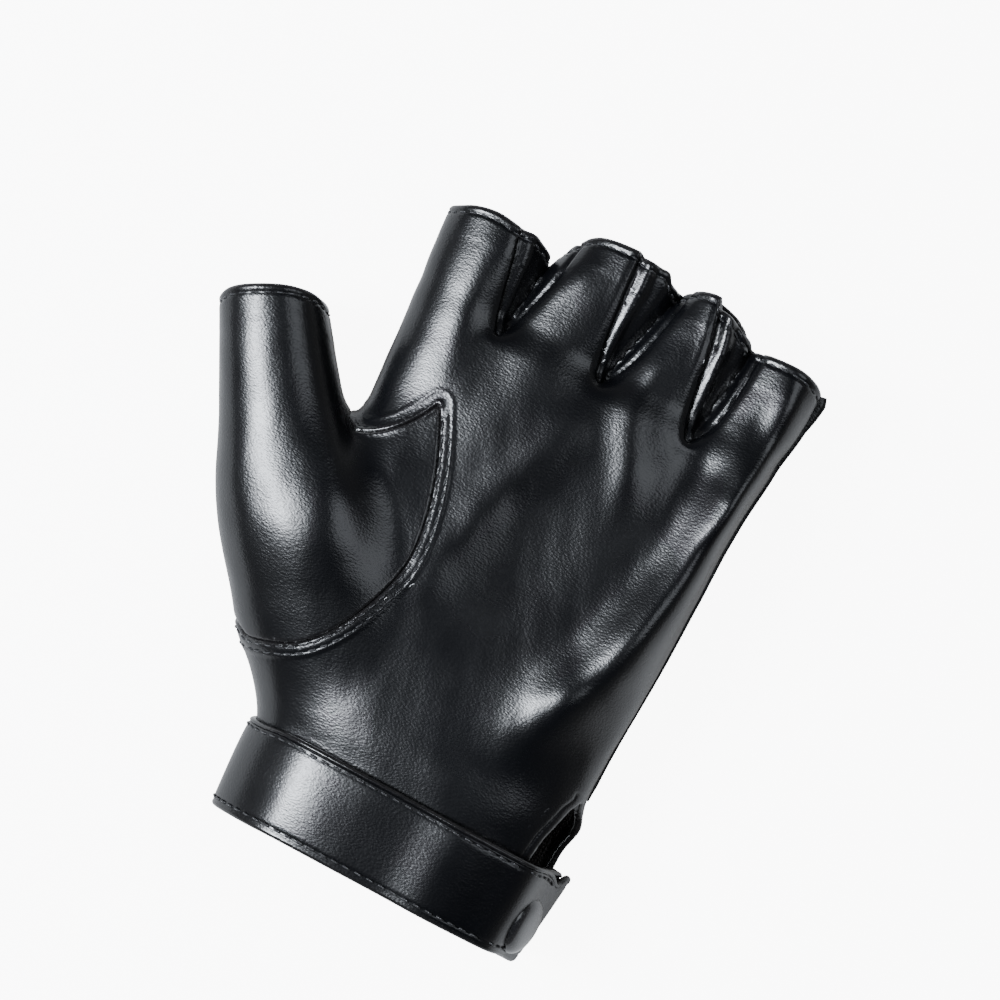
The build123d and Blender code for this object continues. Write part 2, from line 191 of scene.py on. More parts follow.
# Strips between the fingers: the palm-side edge nearer the thumb, the fold at the bottom, the far edge.
SLOTS = {
    "index_middle": dict(
        palm=[
            (-38.3, 150), (-38.0, 145), (-36.7, 140.2), (-34.6, 131.1), (-32.9, 125.0), (-32.2, 123.2),
            (-31.4, 124.0), (-29.6, 129.0), (-26.6, 140.0), (-24.8, 150),
        ],
        back=[
            (-33.4, 150), (-33.2, 140), (-32.9, 130), (-32.2, 124.4),
            (-31.6, 124.4), (-29.2, 131.0), (-25.6, 144.0), (-24.0, 152),
        ],
    ),
    "middle_ring": dict(
        palm=[
            (-12.1, 158), (-11.9, 154), (-10.9, 143.6), (-9.6, 133.5), (-8.2, 127.4), (-7.2, 125.2),
            (-6.0, 125.4), (-3.0, 131.0), (0.2, 142.0), (2.4, 156),
        ],
        back=[
            (-4.6, 158), (-5.2, 150), (-6.6, 134), (-7.2, 125.2),
            (-6.4, 125.2), (-2.6, 134.0), (1.2, 147.0), (2.6, 158),
        ],
    ),
    "ring_little": dict(
        palm=[
            (8.6, 158), (8.8, 153.5), (11.7, 142.9), (14.0, 131.2), (15.7, 124.4), (17.0, 122.4),
            (18.4, 123.4), (20.6, 129.0), (22.0, 138.0), (22.6, 150),
        ],
        back=[
            (16.2, 158), (16.6, 150), (17.0, 134), (17.2, 124.0),
            (18.0, 124.0), (20.4, 132.0), (22.8, 144.0), (23.6, 152),
        ],
    ),
}
# Points of a slot's palm outline on the edge nearer the thumb, and how deep the strips fold in.
SLOT_EDGE = 6
SLOT_DEPTHS = (0.4, 0.65, 1.0)


def curve(points, count=60):
    """Smooth open line through points."""
    p = np.array(points, float)
    p = np.vstack([2 * p[0] - p[1], p, 2 * p[-1] - p[-2]])
    out = []
    n = len(p) - 3
    for t in np.linspace(0, n - 1e-9, count):
        i = int(t)
        u = t - i
        a, b, c, d = p[i : i + 4]
        square, cube = 2 * a - 5 * b + 4 * c - d, 3 * b - a - 3 * c + d
        out.append(0.5 * (2 * b + (c - a) * u + square * u * u + cube * u**3))
    return np.array(out)


def along(table, column, at):
    """Smooth value of a station table's column at positions along it."""
    t, v = table[:, 0], table[:, column]
    slope = np.gradient(v, t)
    i = np.clip(np.searchsorted(t, at) - 1, 0, len(t) - 2)
    h = t[i + 1] - t[i]
    u = np.clip((at - t[i]) / h, 0, 1)
    return (
        (2 * u**3 - 3 * u**2 + 1) * v[i]
        + (u**3 - 2 * u**2 + u) * h * slope[i]
        + (-2 * u**3 + 3 * u**2) * v[i + 1]
        + (u**3 - u**2) * h * slope[i + 1]
    )


def ring(x, z, left, right, low, high, power=2.3):
    """Near-distance to a hand-shaped section."""
    a, b = (right - left) / 2, (high - low) / 2
    u, v = (x - (left + right) / 2) / a, (z - (low + high) / 2) / b
    r = (np.abs(u) ** power + np.abs(v) ** power) ** (1 / power) + 1e-6
    gx = np.sign(u) * (np.abs(u) / r) ** (power - 1) / a
    gz = np.sign(v) * (np.abs(v) / r) ** (power - 1) / b
    return (r - 1) / np.sqrt(gx * gx + gz * gz + 1e-9)


def melt(a, b, k):
    """The smaller of two fields, blended over a width k."""
    h = np.clip(0.5 + 0.5 * (b - a) / k, 0, 1)
    return b + (a - b) * h - k * h * (1 - h)


def step(a, b, x):
    """Smooth rise from 0 at a to 1 at b."""
    t = np.clip((x - a) / (b - a), 0, 1)
    return t * t * (3 - 2 * t)


def bell(x, width):
    return np.exp(-((x / width) ** 2))


def rounding(distance, radius):
    """Drop of a rounded edge at a distance from it."""
    inside = np.clip(radius - distance, 0, radius)
    return radius - np.sqrt(radius**2 - inside**2)


def thumb_frame(p):
    """Places along and across the thumb."""
    s, c = math.sin(THUMB_YAW), math.cos(THUMB_YAW)
    return -p[:, 0] * s + p[:, 1] * c, p[:, 0] * c + p[:, 1] * s


FINGER_TABLES = {name: np.array(rows, float) for name, rows in FINGERS.items()}


def finger_field(name, p):
    table = FINGER_TABLES[name]
    half = along(table, 3, p[:, 1])
    d = ring(p[:, 0], p[:, 2], along(table, 1, p[:, 1]), along(table, 2, p[:, 1]), -half, half, 2.2)
    return np.maximum(d, table[0, 0] - p[:, 1])


def glove_field(p):
    """Negative inside the hand's shape."""
    y = p[:, 1]
    body = ring(p[:, 0], p[:, 2], *[along(BODY, k, y) for k in (1, 2, 3, 4)])
    body = -melt(-body, -(y - BODY_TOP), 5.0)
    fingers = finger_field("index", p)
    for name in ("middle", "ring", "little"):
        fingers = melt(fingers, finger_field(name, p), 1.0)
    t, s = thumb_frame(p)
    middle, half = along(THUMB, 3, t), along(THUMB, 4, t)
    thumb = ring(s, p[:, 2], along(THUMB, 1, t), along(THUMB, 2, t), middle - half, middle + half, 2.15)
    thumb = np.maximum(thumb, THUMB[0, 0] - t)
    return melt(melt(body, fingers, 4.5), thumb, 7.0)


def slopes(f, p):
    """Gradient of a field at points."""
    g = np.empty_like(p)
    e = 0.05
    for k in range(3):
        d = np.zeros(3)
        d[k] = e
        g[:, k] = (f(p + d) - f(p - d)) / (2 * e)
    return g


def surface(f, low, high, h):
    """Quad skin of a field's zero level, split into triangles."""
    axes = [np.arange(low[k], high[k] + h, h) for k in range(3)]
    shape = tuple(len(a) for a in axes)
    grid = np.stack(np.meshgrid(*axes, indexing="ij"), -1).reshape(-1, 3)
    value = np.concatenate([f(part) for part in np.array_split(grid, 24)]).reshape(shape)
    inside = value < 0
    cells = tuple(n - 1 for n in shape)
    total, count = np.zeros(cells + (3,)), np.zeros(cells)
    corners = [(i, j, k) for i in (0, 1) for j in (0, 1) for k in (0, 1)]

    def corner(array, c):
        return array[c[0] : c[0] + cells[0], c[1] : c[1] + cells[1], c[2] : c[2] + cells[2]]

    for a in corners:
        for axis in range(3):
            if a[axis]:
                continue
            b = tuple(a[k] + (k == axis) for k in range(3))
            va, vb = corner(value, a), corner(value, b)
            cross = (va < 0) != (vb < 0)
            t = np.where(cross, va / np.where(cross, va - vb, 1), 0)
            for k in range(3):
                total[..., k] += np.where(cross, a[k] + (t if k == axis else 0), 0)
            count += cross
    active = count > 0
    index = -np.ones(cells, int)
    index[active] = np.arange(active.sum())
    where = np.argwhere(active)
    points = (where + total[active] / count[active][:, None]) * h + np.array(low)
    quads = []
    for axis in range(3):
        b, c = (axis + 1) % 3, (axis + 2) % 3
        first = [slice(None)] * 3
        second = [slice(None)] * 3
        first[axis], second[axis] = slice(0, -1), slice(1, None)
        for k in (b, c):
            first[k] = second[k] = slice(1, -1)
        one, two = inside[tuple(first)], inside[tuple(second)]
        for flip, mask in ((False, one & ~two), (True, ~one & two)):
            at = np.argwhere(mask)
            at[:, b] += 1
            at[:, c] += 1
            around = []
            for db, dc in ((-1, -1), (0, -1), (0, 0), (-1, 0)):
                cell = at.copy()
                cell[:, b] += db
                cell[:, c] += dc
                around.append(index[cell[:, 0], cell[:, 1], cell[:, 2]])
            q = np.stack(around, 1)
            quads.append(q[:, ::-1] if flip else q)
    quads = np.concatenate(quads)
    for turn in range(3):
        for _ in range(3):
            g = slopes(f, points)
            points -= g * (f(points) / (g * g).sum(1))[:, None]
        if turn < 2:
            mean, near = np.zeros_like(points), np.zeros(len(points))
            for a in range(4):
                np.add.at(mean, quads[:, a], points[quads[:, (a + 1) % 4]])
                np.add.at(near, quads[:, a], 1)
            points = 0.5 * points + 0.5 * mean / near[:, None]
    short = ((points[quads[:, 0]] - points[quads[:, 2]]) ** 2).sum(1) < (
        (points[quads[:, 1]] - points[quads[:, 3]]) ** 2
    ).sum(1)
    one = np.where(short[:, None], quads[:, [0, 1, 2]], quads[:, [0, 1, 3]])
    two = np.where(short[:, None], quads[:, [0, 2, 3]], quads[:, [1, 2, 3]])
    return points, np.concatenate([one, two])


def split(p, tri, fields, key, level):
    """Cuts triangles along one level of a field, keeping every part."""
    s = fields[key] - level
    s = np.where(np.abs(s) < 0.02, 0.0, s)
    above = s >= 0
    kind = above[tri].sum(1)
    cut = (kind == 1) | (kind == 2)
    touch = (s[tri] == 0).sum(1)
    cut &= ~((kind == 2) & (touch == 2)) & ~((kind == 1) & (touch == 1))
    if not cut.any():
        return p, tri, fields
    t = tri[cut]
    lone = np.where(kind[cut] == 1, above[t].argmax(1), (~above[t]).argmax(1))
    rows = np.arange(len(t))
    a, b, c = t[rows, lone], t[rows, (lone + 1) % 3], t[rows, (lone + 2) % 3]
    pairs = np.concatenate([np.stack([a, b], 1), np.stack([a, c], 1)])
    order = np.sort(pairs, 1)
    unique, inverse = np.unique(order, axis=0, return_inverse=True)
    inverse = inverse.reshape(-1)
    i, j = unique[:, 0], unique[:, 1]
    w = np.clip(s[i] / np.where(s[i] == s[j], 1, s[i] - s[j]), 0.0, 1.0)
    new = len(p) + inverse
    p = np.vstack([p, p[i] + (p[j] - p[i]) * w[:, None]])
    out = {}
    for name, v in fields.items():
        share = w if v.ndim == 1 else w[:, None]
        out[name] = np.concatenate([v, v[i] + (v[j] - v[i]) * share])
    out[key][len(s) :] = level
    ab, ac = new[: len(t)], new[len(t) :]
    made = np.concatenate([np.stack([a, ab, ac], 1), np.stack([ab, b, c], 1), np.stack([ab, c, ac], 1)])
    return p, np.concatenate([tri[~cut], made]), out


def polygon_distance(p, outline):
    """Signed distance in the palm plane to a closed outline, positive inside."""
    q = np.array(outline, float)
    r = np.roll(q, -1, 0)
    x = p[:, :2]
    best = np.full(len(p), 1e9)
    inside = np.zeros(len(p), bool)
    for a, b in zip(q, r):
        d = b - a
        t = np.clip(((x - a) @ d) / max(d @ d, 1e-9), 0, 1)
        best = np.minimum(best, ((x - a - t[:, None] * d) ** 2).sum(1))
        hit = (a[1] > x[:, 1]) != (b[1] > x[:, 1])
        if b[1] != a[1]:
            inside ^= hit & (x[:, 0] < (b[0] - a[0]) * (x[:, 1] - a[1]) / (b[1] - a[1]) + a[0])
    best = np.sqrt(best)
    return np.where(inside, best, -best)


def line_distance(p, points):
    """Distance in the palm plane to an open line, and place along it from 0 to 1."""
    q = curve(points, 40)
    x = p[:, :2]
    best, place = np.full(len(p), 1e9), np.zeros(len(p))
    for k in range(len(q) - 1):
        a, d = q[k], q[k + 1] - q[k]
        t = np.clip(((x - a) @ d) / (d @ d), 0, 1)
        off = x - a - t[:, None] * d
        r = (off**2).sum(1)
        near = r < best
        best = np.where(near, r, best)
        place = np.where(near, (k + t) / (len(q) - 1), place)
    return np.sqrt(best), place


def hem_distance(p):
    """Distance below the nearest stall's hem, large away from the stalls."""
    out = np.full(len(p), 50.0)
    owner = np.array([finger_field(name, p) for name in HEMS]).argmin(0)
    for k, (name, points) in enumerate(HEMS.items()):
        line = curve(points)
        zone = (p[:, 1] > 130) & (owner == k)
        start, end, drop = NOTCHES.get(name, (0, 1, 0))
        notch = drop * step(start, start + 1.5, p[:, 0]) * (1 - step(end - 3, end, p[:, 0]))
        notch *= step(-3, 3, p[:, 2])
        out = np.where(zone, np.interp(p[:, 0], line[:, 0], line[:, 1]) - notch - p[:, 1], out)
    line = curve(THUMB_HEM)
    t, s = thumb_frame(np.column_stack([line, np.zeros(len(line))]))
    order = np.argsort(s)
    pt, ps = thumb_frame(p)
    zone = (-10 * (p[:, 1] - 90) - 22 * (p[:, 0] + 52) > 0) & (pt > 100)
    return np.where(zone, np.interp(ps, s[order], t[order]) - pt, out)


def vent_distance(p):
    """Positive on the leather, negative in the wrist vent."""
    x, y, z = p.T
    palm_edge = np.interp(y, [20, 23.7, 28, 32, 36.4, 38.6], [30.4, 30.6, 31.2, 32.4, 33.7, 34.9])
    back_edge = np.interp(y, [20, 26, 31, 35, 38.6], [-1.5, -1.5, -1.2, 0.8, 5.0])
    return -np.minimum.reduce([x - palm_edge, z - back_edge, 38.4 - y])


low = np.array([-96.0, 12.0, -20.5])
high = np.array([42.0, 160.0, 22.5])
skin, tri = surface(glove_field, low, high, GRID)
normal = slopes(glove_field, skin)
normal /= np.linalg.norm(normal, axis=1)[:, None]

palm_side = step(-3, 3, skin[:, 2])


def seam_field(palm, back):
    return palm_side * polygon_distance(skin, palm) + (1 - palm_side) * polygon_distance(skin, back)


thumb_palm = np.vstack([curve(THUMB_SEAM), curve(CROTCH, 30), THUMB_OUT])
thumb_back = np.vstack([curve(THUMB_BACK), THUMB_OUT])
fields = {
    "normal": normal,
    "hem": hem_distance(skin),
    "wrist": skin[:, 1] - 15.0,
    "vent": vent_distance(skin),
    "thumb": seam_field(thumb_palm, thumb_back),
    "crotch": line_distance(skin, CROTCH)[0],
}
for name, lines in SLOTS.items():
    fields[name] = seam_field(curve(lines["palm"], 80), curve(lines["back"], 50))

# The skin is cut along these levels, so that edges, rows of stitches and folded rims follow its points.
THUMB_LEVELS = (-4.0, -3.4, -3.0, -2.7, -SEAM_ROWS[1], -1.6, -1.2, -SEAM_ROWS[0], -0.45, -0.2, 0.0, 0.3, 0.8)
LEVELS = {
    "hem": (0.0, 0.12, 0.35, 0.65, 1.05, 1.65, HEM_ROW, 2.35, 3.0, *HEM_TURN),
    "vent": (0.0, 0.12, 0.35, 0.75, 1.9, 2.2, 2.5, *VENT_TURN),
    "thumb": THUMB_LEVELS,
    **{name: (-1.6, -0.8, -0.35, 0.0, 0.35, 0.8) for name in SLOTS},
}
for key, levels in LEVELS.items():
    for level in levels:
        skin, tri, fields = split(skin, tri, fields, key, level)

keep = np.ones(len(tri), bool)
for key in ("hem", "wrist", "vent"):
    keep &= fields[key][tri].mean(1) > 0
tri = tri[keep]

rng = np.random.default_rng(7)


def waves(p, length):
    """Smooth seeded unevenness of about unit height."""
    count = 14
    k = rng.normal(size=(count, 3)) * 2 * math.pi / length
    return np.sin(p @ k.T + rng.uniform(0, 6.28, count)).sum(1) / math.sqrt(count)


# Soft folds of the palm side: line, half width, height.
FOLDS = [
    ([(-19.5, 150), (-23.0, 141), (-27.0, 131.5), (-32.5, 120.5), (-37.5, 110)], 3.0, 0.5),
    ([(-41.0, 150), (-41.0, 136), (-40.5, 122), (-37.0, 109), (-33.5, 100)], 5.0, 0.7),
    ([(-23.0, 58), (-19.0, 73), (-14.5, 91), (-8.5, 109), (-5.0, 122)], 5.5, 0.9),
    ([(5.0, 143), (1.5, 130), (4.0, 119), (9.0, 109), (12.0, 95)], 4.4, 1.0),
    ([(11.5, 146), (9.5, 132), (12.5, 121), (14.0, 112)], 4.0, 0.4),
    ([(32.5, 152), (34.0, 139), (35.5, 129), (37.5, 118), (35.5, 110), (31.0, 101)], 3.8, 1.6),
    (
        [(35.5, 132), (35.0, 118), (34.0, 108), (31.5, 90), (27.5, 72), (22.5, 60), (17.0, 48.7), (9.0, 34)],
        7.8,
        4.6,
    ),
    ([(35.5, 134), (35.0, 120), (34.0, 108), (31.5, 90), (27.5, 72), (23.0, 62)], 7.8, 2.4),
]
# Round hollows (negative) and swellings: centre, half sizes, height.
HOLLOWS = [
    ((-4.0, 78.0), (17.0, 32.0), -2.6),
    ((25.0, 117.5), (5.5, 6.0), -0.8),
    ((-46.0, 64.0), (16.0, 20.0), 1.2),
    ((-43.5, 84.0), (9.5, 15.0), 3.2),
]

rest = skin.copy()
x, y, z = rest.T
nrm = fields["normal"] / np.linalg.norm(fields["normal"], axis=1)[:, None]
front = step(0.1, 0.6, nrm[:, 2])
hem, thumb, vent = fields["hem"], fields["thumb"], fields["vent"]
out = 0.1 * waves(skin, 30) + 0.025 * waves(skin, 10)
out += 0.05 * (1 - step(7.0, 8.6, hem)) - 0.24 * bell(hem - HEM_ROW, 0.4) - 0.9 * rounding(hem, HEM_ROUND)
seam = -0.5 * bell(thumb, 0.22)
allowance = step(0.0, 0.45, -thumb) * (1 - step(2.7, 4.0, -thumb)) * step(1.5, 4.0, fields["crotch"])
sunk = bell(thumb + SEAM_ROWS[0], 0.25) + bell(thumb + SEAM_ROWS[1], 0.25)
out += seam + 0.2 * allowance - 0.12 * allowance * sunk
out += 0.3 * bell(fields["crotch"] - 0.4, 0.6) * front
out += 1.7 * bell(y - 32.5, 4.5) * step(30, 34, x) * (1 - step(-1, 4, z)) - 0.8 * rounding(vent, VENT_ROUND)
out -= 0.16 * bell(vent - 2.2, 0.35)
lift, facing_up = np.zeros(len(skin)), step(0.0, 0.85, nrm[:, 2])
for line, width, height in FOLDS:
    away, place = line_distance(skin, line)
    lift += height * bell(away, width) * step(0, 0.22, place) * (1 - step(0.72, 1, place))
for (cx, cy), (wx, wy), height in HOLLOWS:
    lift += height * np.exp(-(((x - cx) / wx) ** 2) - ((y - cy) / wy) ** 2)

for (name, lines), strength in zip(SLOTS.items(), SLOT_DEPTHS):
    s = fields[name]
    edge = lines["palm"][:SLOT_EDGE]
    away = line_distance(skin, edge)[0]
    bottom = edge[-1][1]
    size = np.interp(y, [bottom, bottom + 8, bottom + 22], [0.22, 0.5, 0.9])
    d = np.where(s > 0, away, 9.0) / size
    inner = step(-0.1, 0.3, s) * step(-2, 3, z) * step(bottom - 1, bottom + 3, y)
    pucker = np.sin(y * 2 * math.pi / 1.7 + 1.5 * waves(skin, 7)) * bell(d - 3.4, 1.5)
    dips = -1.8 * bell(d - 1.0, 1.0) + 0.4 * bell(d - 3.5, 1.1) - 0.8 * bell(d - 6.0, 1.4)
    out += inner * strength * (size * dips + 0.09 * pucker)
    rim = step(0.0, 2.0, -s) * bell(s + 2.0, 1.2) * front
    out += 0.22 * strength * rim - 0.6 * bell(s, 0.35)

skin = skin + nrm * out[:, None]
skin[:, 2] += lift * facing_up


class Nodes:
    """A material and a short way to add nodes to it."""

    def __init__(self, name):
        self.material = bpy.data.materials.new(name)
        self.material.use_nodes = True
        self.tree = self.material.node_tree
        self.shader = self.tree.nodes["Principled BSDF"]
        self.place = self.add("ShaderNodeTexCoord").outputs["Object"]

    def add(self, kind, **sockets):
        made = self.tree.nodes.new(kind)
        for key, value in sockets.items():
            self.set(made.inputs[key.replace("_", " ")], value)
        return made

    def set(self, socket, value):
        if isinstance(value, bpy.types.NodeSocket):
            self.tree.links.new(value, socket)
        else:
            socket.default_value = value

    def scaled(self, *factors):
        made = self.add("ShaderNodeMapping", Vector=self.place)
        made.inputs["Scale"].default_value = factors
        return made.outputs["Vector"]

    def noise(self, vector, scale, detail=3.0):
        made = self.add("ShaderNodeTexNoise", Vector=vector, Scale=scale, Detail=detail, Roughness=0.55)
        return made.outputs["Fac"]

    def span(self, value, low, high, start=0.3, stop=0.7):
        made = self.add("ShaderNodeMapRange", Value=value)
        for key, number in (("From Min", start), ("From Max", stop), ("To Min", low), ("To Max", high)):
            made.inputs[key].default_value = number
        return made.outputs["Result"]

    def math(self, operation, a, b):
        made = self.tree.nodes.new("ShaderNodeMath")
        made.operation = operation
        self.set(made.inputs[0], a)
        self.set(made.inputs[1], b)
        return made.outputs[0]

    def tint(self, fac, one, two):
        made = self.tree.nodes.new("ShaderNodeMix")
        made.data_type = "RGBA"
        self.set(made.inputs["Factor"], fac)
        made.inputs["A"].default_value = (*one, 1)
        made.inputs["B"].default_value = (*two, 1)
        return made.outputs["Result"]

    def bump(self, height, distance):
        made = self.add("ShaderNodeBump", Height=height, Distance=distance, Strength=1.0)
        self.set(self.shader.inputs["Normal"], made.outputs["Normal"])

    def finish(self, **sockets):
        for key, value in sockets.items():
            self.set(self.shader.inputs[key.replace("_", " ")], value)
        return self.material


def leather_finish():
    """Black coated leather: pebbled grain, short creases across the hand, and polish at worn edges."""
    n = Nodes("black_leather")
    drift = n.add("ShaderNodeTexNoise", Vector=n.place, Scale=520.0, Detail=2.0).outputs["Color"]
    warped = n.add("ShaderNodeVectorMath", Vector=drift)
    warped.operation = "MULTIPLY_ADD"
    warped.inputs[1].default_value = (0.0006, 0.0006, 0.0006)
    n.set(warped.inputs[2], n.scaled(0.8, 1.25, 1.0))
    pebble = n.add("ShaderNodeTexVoronoi", Vector=warped.outputs["Vector"], Scale=1800.0)
    pebble.feature = "SMOOTH_F1"
    pebble.inputs["Smoothness"].default_value = 0.35
    cells = n.span(pebble.outputs["Distance"], 1.0, 0.0, 0.1, 0.75)
    creases = n.noise(n.scaled(0.5, 1.6, 1.0), 1500.0, 3.0)
    patches = n.noise(n.place, 55.0, 2.0)
    grain = n.math("ADD", n.math("MULTIPLY", cells, 0.55), n.math("MULTIPLY", creases, 0.75))
    grain = n.math("MULTIPLY", grain, n.span(patches, 0.7, 1.2))
    n.bump(grain, LEATHER_GRAIN)
    wear = n.add("ShaderNodeAttribute")
    wear.attribute_name = "wear"
    tone = n.tint(n.span(n.noise(n.place, 35.0), 0, 1), (0.0008, 0.0009, 0.0013), (0.0014, 0.0016, 0.0022))
    colour = n.tree.nodes.new("ShaderNodeMix")
    colour.data_type = "RGBA"
    n.set(colour.inputs["Factor"], n.math("MULTIPLY", wear.outputs["Fac"], n.span(creases, 0.2, 0.9)))
    n.set(colour.inputs["A"], tone)
    colour.inputs["B"].default_value = (0.014, 0.013, 0.013, 1)
    gloss = n.math("SUBTRACT", n.span(patches, 0.245, 0.295), n.math("MULTIPLY", wear.outputs["Fac"], 0.08))
    return n.finish(Base_Color=colour.outputs["Result"], Roughness=gloss)


def backing_finish():
    """The brown-black knitted cloth that the leather is coated on."""
    n = Nodes("leather_backing")
    wales = n.add("ShaderNodeTexWave", Vector=n.place, Scale=420.0, Distortion=2.5, Detail=2.0)
    courses = n.add("ShaderNodeTexWave", Vector=n.place, Scale=330.0, Distortion=2.0, Detail=2.0)
    courses.bands_direction = "Y"
    knit = n.math("MULTIPLY", wales.outputs["Fac"], courses.outputs["Fac"])
    n.bump(knit, 0.00025)
    tone = n.tint(knit, (0.010, 0.0075, 0.007), (0.026, 0.019, 0.017))
    return n.finish(Base_Color=tone, Roughness=0.92, Sheen_Weight=0.15)


def thread_finish():
    """Waxed black thread with its twist."""
    n = Nodes("black_thread")
    twist = n.add("ShaderNodeTexWave", Vector=n.scaled(1.0, 1.0, 1.0), Scale=1500.0, Distortion=1.5)
    twist.bands_direction = "DIAGONAL"
    n.bump(twist.outputs["Fac"], 0.00008)
    tone = n.tint(twist.outputs["Fac"], (0.006, 0.006, 0.007), (0.022, 0.022, 0.024))
    return n.finish(Base_Color=tone, Roughness=0.38)


def metal_finish():
    """Dark nickel with fine handling scratches."""
    n = Nodes("dark_nickel")
    scratch = n.noise(n.scaled(1.0, 0.15, 1.0), 2600.0, 4.0)
    n.bump(scratch, 0.00003)
    tone = n.tint(n.span(n.noise(n.place, 500.0), 0, 1), (0.20, 0.195, 0.19), (0.36, 0.35, 0.33))
    return n.finish(Base_Color=tone, Metallic=1.0, Roughness=n.span(scratch, 0.2, 0.36))


def enamel_finish():
    """Glossy black enamel on the snap's cap, slightly dusty."""
    n = Nodes("black_enamel")
    dust = n.noise(n.place, 1800.0, 4.0)
    n.bump(n.noise(n.place, 300.0, 2.0), 0.00004)
    tone = n.tint(n.span(dust, 0, 1, 0.55, 0.8), (0.008, 0.008, 0.009), (0.03, 0.03, 0.031))
    return n.finish(Base_Color=tone, Roughness=n.span(dust, 0.16, 0.3), Coat_Weight=0.5, Coat_Roughness=0.08)


LEATHER_FINISH = leather_finish()
BACKING_FINISH = backing_finish()
THREAD_FINISH = thread_finish()
METAL_FINISH = metal_finish()
ENAMEL_FINISH = enamel_finish()


def make(name, points, faces, body, nodes):
    """Object from millimetre points in place of CAD nodes, riding on a body when one is given."""
    mesh = bpy.data.meshes.new(name)
    mesh.from_pydata((np.asarray(points) / 1000).tolist(), [], [list(map(int, f)) for f in faces])
    mesh.update()
    mesh.shade_smooth()
    mesh.set_sharp_from_angle(angle=SHARP)
    piece = bpy.data.objects.new(name, mesh)
    bpy.context.scene.collection.objects.link(piece)
    if body:
        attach(piece, body)
    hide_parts(*nodes)
    return piece


def thicken(points, faces, normals, depth):
    """Closed leather from an outer skin: an inner skin, the cut edge between them, and the points used."""
    used, back = np.unique(faces, return_inverse=True)
    faces = back.reshape(faces.shape)
    points, normals, depth = points[used], normals[used], depth[used]
    n = len(points)
    edges = np.concatenate([faces[:, [0, 1]], faces[:, [1, 2]], faces[:, [2, 0]]])
    code = edges[:, 0] * n + edges[:, 1]
    free = edges[~np.isin(code, edges[:, 1] * n + edges[:, 0])]
    wall = np.stack([free[:, 1], free[:, 0], free[:, 0] + n, free[:, 1] + n], 1)
    inner = points - normals * depth[:, None]
    all_faces = faces.tolist() + (faces[:, ::-1] + n).tolist() + wall.tolist()
    return np.vstack([points, inner]), all_faces, used


# The leather is turned in along the stall hems and the vent, so it is double and round-edged there.
turned = np.maximum(1 - step(*HEM_TURN, hem), 1 - step(*VENT_TURN, vent))
depth = LEATHER + HEM_EXTRA * turned - 1.8 * rounding(hem, HEM_ROUND) - 1.5 * rounding(vent, VENT_ROUND)

regions = {"thumb": fields["thumb"][tri].mean(1) > 0}
for name in SLOTS:
    regions[f"fourchette_{name}"] = fields[name][tri].mean(1) > 0
taken = np.zeros(len(tri), bool)
panels = {}
for name, mask in regions.items():
    panels[name] = mask & ~taken
    taken |= mask
panels["trank"] = ~taken
panel_nodes = {
    "trank": ("trank", "vent_binding", "index_hem", "middle_hem", "ring_hem", "little_hem"),
    "thumb": ("thumb", "thumb_hem"),
}


def paint(piece, inside):
    """Grain leather outside and backing cloth inside, by a mark for each face."""
    piece.data.materials.append(LEATHER_FINISH)
    piece.data.materials.append(BACKING_FINISH)
    piece.data.polygons.foreach_set("material_index", np.asarray(inside, np.int32))


def mark_wear(piece, amount):
    """How rubbed each point of the leather is, read by its finish."""
    wear = piece.data.attributes.new("wear", "FLOAT", "POINT")
    wear.data.foreach_set("value", np.asarray(amount, np.float32))


rubbed = np.maximum.reduce([bell(hem, 0.9), bell(vent, 0.8), 0.7 * bell(thumb, 0.9)])
for name, mask in panels.items():
    points, faces, used = thicken(skin, tri[mask], nrm, depth)
    piece = make(f"{name}_skin", points, faces, "glove", panel_nodes.get(name, (name,)))
    backing = turned[tri[mask]].mean(1) < 0.5
    edge = np.zeros(len(faces) - 2 * len(backing), bool)
    paint(piece, np.concatenate([np.zeros(len(backing), bool), backing, edge]))
    mark_wear(piece, np.concatenate([rubbed[used], rubbed[used]]))


def smooth_line(points, normals, closed):
    """Evened-out copy of a line on the skin: length so far, points, directions, and marks for gaps."""
    if closed:
        points, normals = np.vstack([points, points[:1]]), np.vstack([normals, normals[:1]])
    run = np.linalg.norm(np.diff(points, axis=0), axis=1)
    far = np.concatenate([[0], np.cumsum(run)])
    at = np.arange(0, far[-1], 0.5)
    p = np.column_stack([np.interp(at, far, points[:, k]) for k in range(3)])
    n = np.column_stack([np.interp(at, far, normals[:, k]) for k in range(3)])
    for _ in range(3):
        p[1:-1] = (p[:-2] + 2 * p[1:-1] + p[2:]) / 4
        n[1:-1] = (n[:-2] + 2 * n[1:-1] + n[2:]) / 4
    gap = np.zeros(len(at), bool)
    for k in np.flatnonzero(run > 1.6):
        gap |= (at > far[k] - 0.4) & (at < far[k + 1] + 0.4)
    return at, p, n / np.linalg.norm(n, axis=1)[:, None], gap


def level_line(key, level, mask, place, closed=False):
    """Where the skin was cut along one level of a field, in order of place."""
    at = np.flatnonzero((np.abs(fields[key] - level) < 1e-6) & mask)
    at = at[np.argsort(place[at])]
    return smooth_line(skin[at], nrm[at], closed)


